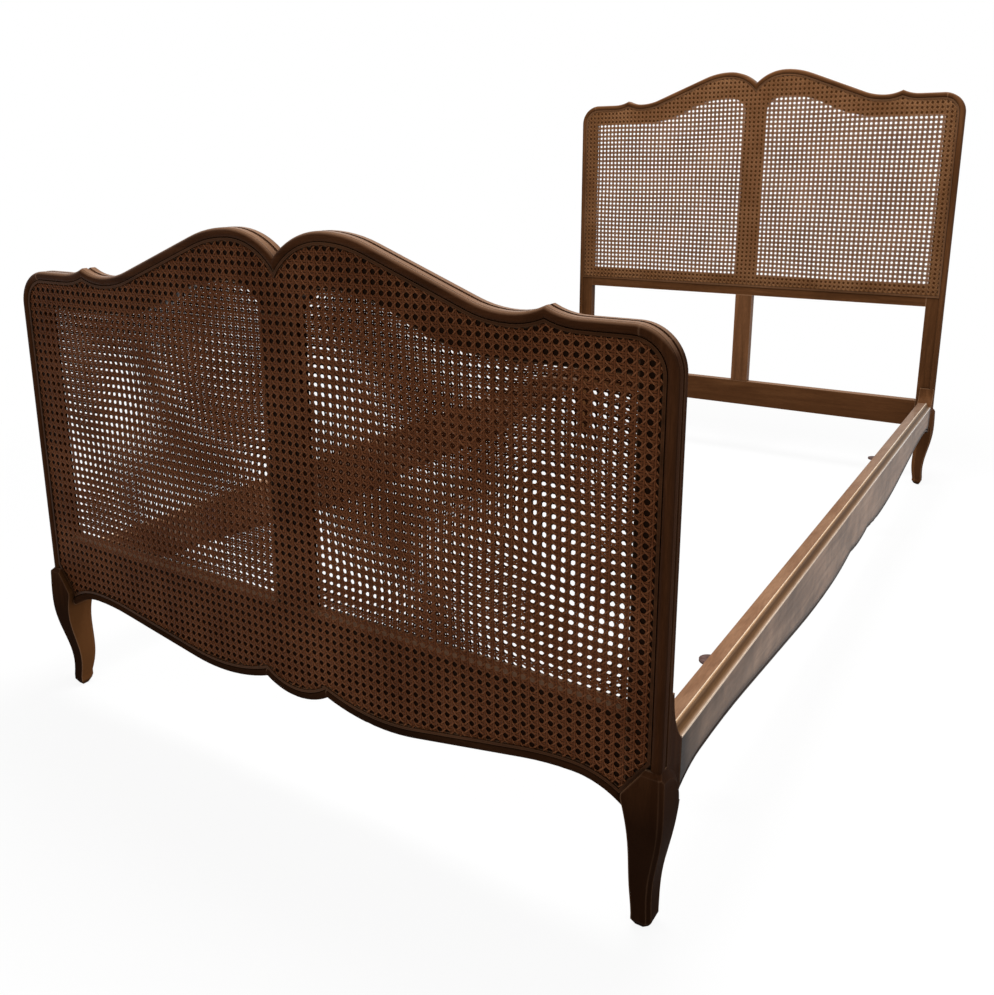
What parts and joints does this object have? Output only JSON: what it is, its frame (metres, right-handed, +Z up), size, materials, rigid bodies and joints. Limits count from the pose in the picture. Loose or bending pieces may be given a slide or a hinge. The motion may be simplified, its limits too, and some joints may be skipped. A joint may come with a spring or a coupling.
{
  "type": "cane bed",
  "caption": "Knock-down bedstead with caned headboard and footboard, serpentine moulded tops, cabriole legs and hooked scalloped side rails.",
  "frame": {"origin": "on the floor under the middle of the bed", "axes": "+X to the right seen from the foot, +Y from foot to head, +Z up"},
  "size_m": [1.1412, 2.0612, 1.1739],
  "materials": {
    "frame_wood": "dark stained hardwood, satin polish",
    "rail_wood": "stained hardwood, satin polish, rubbed lighter on the mouldings",
    "cane_weave": "stained six-way woven cane, satin",
    "cane_spline": "stained reed strip",
    "bracket_iron": "brown painted iron",
    "plate_steel": "dull steel",
    "screw_steel": "dull steel"
  },
  "bodies": {
    "end_boards": {"foot_left_post": "frame_wood", "foot_right_post": "frame_wood", "foot_top_rail": "frame_wood", "foot_apron": "frame_wood", "foot_muntin": "frame_wood", "head_left_post": "frame_wood", "head_right_post": "frame_wood", "head_top_rail": "frame_wood", "head_mid_rail": "frame_wood", "head_bottom_rail": "frame_wood", "head_upper_muntin": "frame_wood", "head_lower_muntin": "frame_wood", "foot_cane_front": "cane_weave", "foot_cane_back": "cane_weave", "head_cane": "cane_weave", "foot_spline_front": "cane_spline", "foot_spline_back": "cane_spline", "head_spline": "cane_spline", "foot_slot_plates": "plate_steel", "head_slot_plates": "plate_steel", "foot_plate_screws": "screw_steel", "head_plate_screws": "screw_steel"},
    "left_rail": {"left_side_rail": "rail_wood", "left_base_brackets": "bracket_iron", "left_bracket_screws": "screw_steel", "left_hook_plates": "plate_steel", "left_hook_screws": "screw_steel"},
    "right_rail": {"right_side_rail": "rail_wood", "right_base_brackets": "bracket_iron", "right_bracket_screws": "screw_steel", "right_hook_plates": "plate_steel", "right_hook_screws": "screw_steel"}
  },
  "joints": [
    {"name": "left_rail_lift", "type": "slide", "parent": "end_boards", "child": "left_rail", "axis": [0, 0, 1], "range_m": [0, 0.008]},
    {"name": "right_rail_lift", "type": "slide", "parent": "end_boards", "child": "right_rail", "axis": [0, 0, 1], "range_m": [0, 0.008]}
  ]
}
